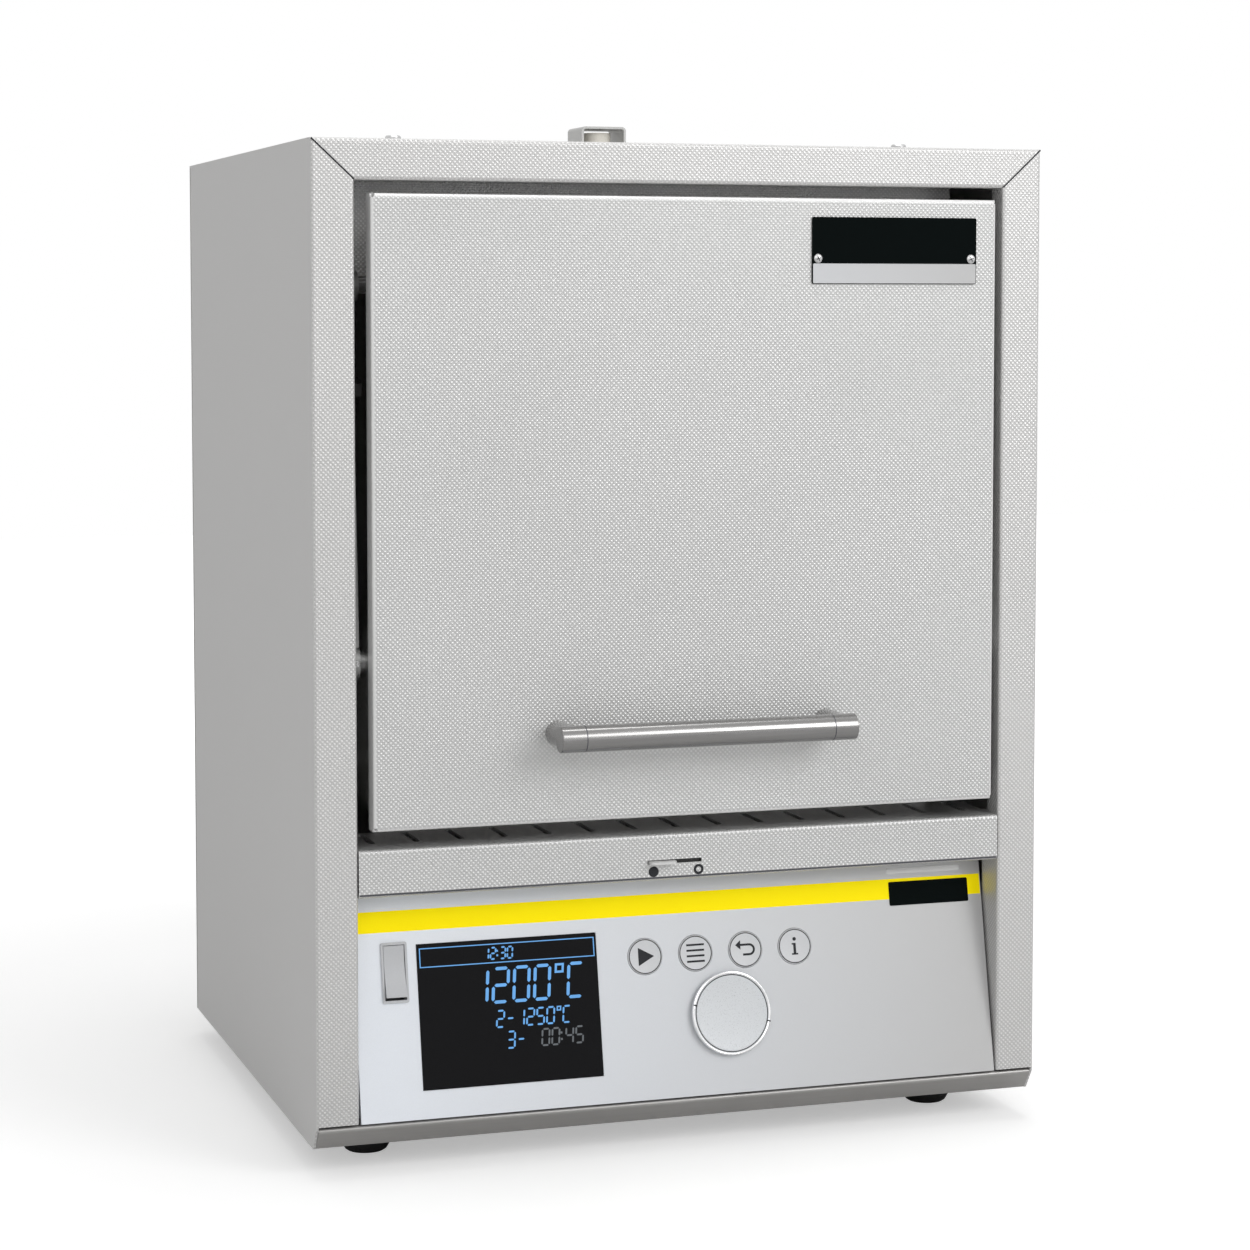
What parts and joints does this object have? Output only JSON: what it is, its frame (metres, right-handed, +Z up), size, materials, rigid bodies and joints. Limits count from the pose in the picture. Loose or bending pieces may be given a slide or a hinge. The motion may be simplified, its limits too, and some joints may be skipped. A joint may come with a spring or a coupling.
{
  "type": "muffle furnace",
  "caption": "Bench-top high-temperature muffle furnace with a parallel-swinging lift door, a leaning control panel and an exhaust pipe under a low hood.",
  "frame": {"origin": "middle of the footprint's box, on the surface that the feet stand on", "axes": "+X to the viewer's right, +Y from the door to the rear, +Z up"},
  "size_m": [0.385, 0.425, 0.525],
  "materials": {
    "textured_steel": "matte embossed light grey lacquer",
    "grey_steel": "smooth satin grey lacquer",
    "rear_steel": "satin grey lacquer",
    "bare_steel": "plain rolled sheet",
    "handle_steel": "finely brushed, bright",
    "screw_steel": "satin",
    "fibre_board": "matte ceramic fibre board",
    "ceramic": "matte fired alumina",
    "element": "dark grey glazed silicide",
    "panel_film": "satin pale grey front film",
    "key_plastic": "satin pale grey",
    "dial_plastic": "satin pale grey with a bright rim",
    "rocker_plastic": "satin light grey",
    "display_glass": "black glossy window",
    "dark_plastic": "matte black",
    "foot_rubber": "matte black",
    "core_iron": "laminated core",
    "heat_sink": "extruded"
  },
  "bodies": {
    "housing": {"air_inlet_tube": "bare_steel", "base_pan": "grey_steel", "casing_left": "textured_steel", "casing_right": "textured_steel", "casing_roof": "textured_steel", "chamber_floor_plate": "ceramic", "control_panel": "panel_film", "display_module": "display_glass", "element_clamps": "ceramic", "exhaust_hood": "bare_steel", "exhaust_pipe": "ceramic", "fan_frame": "dark_plastic", "fascia_sill": "textured_steel", "foot_front_left": "foot_rubber", "foot_front_right": "foot_rubber", "foot_rear_left": "foot_rubber", "foot_rear_right": "foot_rubber", "front_plate": "bare_steel", "heating_elements_left": "element", "heating_elements_right": "element", "hinge_plate_left": "bare_steel", "hinge_plate_right": "bare_steel", "inner_case": "bare_steel", "insulation_back": "fibre_board", "insulation_collar": "fibre_board", "insulation_floor": "fibre_board", "insulation_left": "fibre_board", "insulation_right": "fibre_board", "insulation_roof": "fibre_board", "mains_inlet": "dark_plastic", "power_unit": "heat_sink", "rear_cover": "rear_steel", "rear_panel": "rear_steel", "rocker_frame": "rocker_plastic", "roof_screws": "screw_steel", "thermocouple": "ceramic", "transformer": "core_iron"},
    "upper_links": {"torsion_shaft": "bare_steel", "upper_arm_left": "bare_steel", "upper_arm_right": "bare_steel"},
    "lower_link_left": {"lower_arm_left": "bare_steel"},
    "lower_link_right": {"lower_arm_right": "bare_steel"},
    "door": {"door_shell": "textured_steel", "door_back_plate": "bare_steel", "door_insulation": "fibre_board", "door_bracket_left": "bare_steel", "door_bracket_right": "bare_steel", "handle_bar": "handle_steel", "handle_end_left": "handle_steel", "handle_end_right": "handle_steel", "name_plate": "dark_plastic"},
    "air_shutter": {"air_inlet_slide": "bare_steel"},
    "start_key": {"button_start": "key_plastic"},
    "menu_key": {"button_menu": "key_plastic"},
    "back_key": {"button_back": "key_plastic"},
    "info_key": {"button_info": "key_plastic"},
    "dial_shaft": {"dial_encoder": "dark_plastic"},
    "dial_wheel": {"dial": "dial_plastic"},
    "rocker": {"rocker_key": "rocker_plastic"},
    "fan": {"fan_rotor": "dark_plastic"}
  },
  "joints": [
    {"name": "door_lift", "type": "hinge", "parent": "housing", "child": "upper_links", "pos_m": [0, -0.1419, 0.438], "axis": [-1, 0, 0], "range_deg": [0, 102.6]},
    {"name": "lower_swing_left", "type": "hinge", "parent": "housing", "child": "lower_link_left", "pos_m": [-0.1685, -0.1079, 0.386], "axis": [-1, 0, 0], "range_deg": [0, 102.6]},
    {"name": "lower_swing_right", "type": "hinge", "parent": "housing", "child": "lower_link_right", "pos_m": [0.1685, -0.1079, 0.386], "axis": [-1, 0, 0], "range_deg": [0, 102.6]},
    {"name": "door_level", "type": "hinge", "parent": "upper_links", "child": "door", "pos_m": [0, -0.1548, 0.25345], "axis": [-1, 0, 0], "range_deg": [-102.6, 0]},
    {"name": "air_shutter_slide", "type": "slide", "parent": "housing", "child": "air_shutter", "axis": [1, 0, 0], "range_m": [0, 0.0138]},
    {"name": "dial_push", "type": "slide", "parent": "housing", "child": "dial_shaft", "axis": [0, 0.9805, -0.1965], "range_m": [0, 0.0008], "stiffness_N_per_m": 1200},
    {"name": "dial_turn", "type": "hinge", "parent": "dial_shaft", "child": "dial_wheel", "pos_m": [0.025, -0.16798, 0.06702], "axis": [0, -0.9805, 0.1965], "continuous": true},
    {"name": "rocker_tip", "type": "hinge", "parent": "housing", "child": "rocker", "pos_m": [-0.1496, -0.15871, 0.098], "axis": [1, 0, 0], "range_deg": [0, 13]},
    {"name": "fan_spin", "type": "hinge", "parent": "housing", "child": "fan", "pos_m": [-0.1, 0.1364, 0.093], "axis": [0, 1, 0], "continuous": true},
    {"name": "start_press", "type": "slide", "parent": "housing", "child": "start_key", "axis": [0, 0.9805, -0.1965], "range_m": [0, 0.0008], "stiffness_N_per_m": 600},
    {"name": "menu_press", "type": "slide", "parent": "housing", "child": "menu_key", "axis": [0, 0.9805, -0.1965], "range_m": [0, 0.0008], "stiffness_N_per_m": 600},
    {"name": "back_press", "type": "slide", "parent": "housing", "child": "back_key", "axis": [0, 0.9805, -0.1965], "range_m": [0, 0.0008], "stiffness_N_per_m": 600},
    {"name": "info_press", "type": "slide", "parent": "housing", "child": "info_key", "axis": [0, 0.9805, -0.1965], "range_m": [0, 0.0008], "stiffness_N_per_m": 600}
  ],
  "couplings": [
    {"joint": "lower_swing_left", "follows": "door_lift", "ratio": 1},
    {"joint": "lower_swing_right", "follows": "door_lift", "ratio": 1},
    {"joint": "door_level", "follows": "door_lift", "ratio": -1}
  ]
}
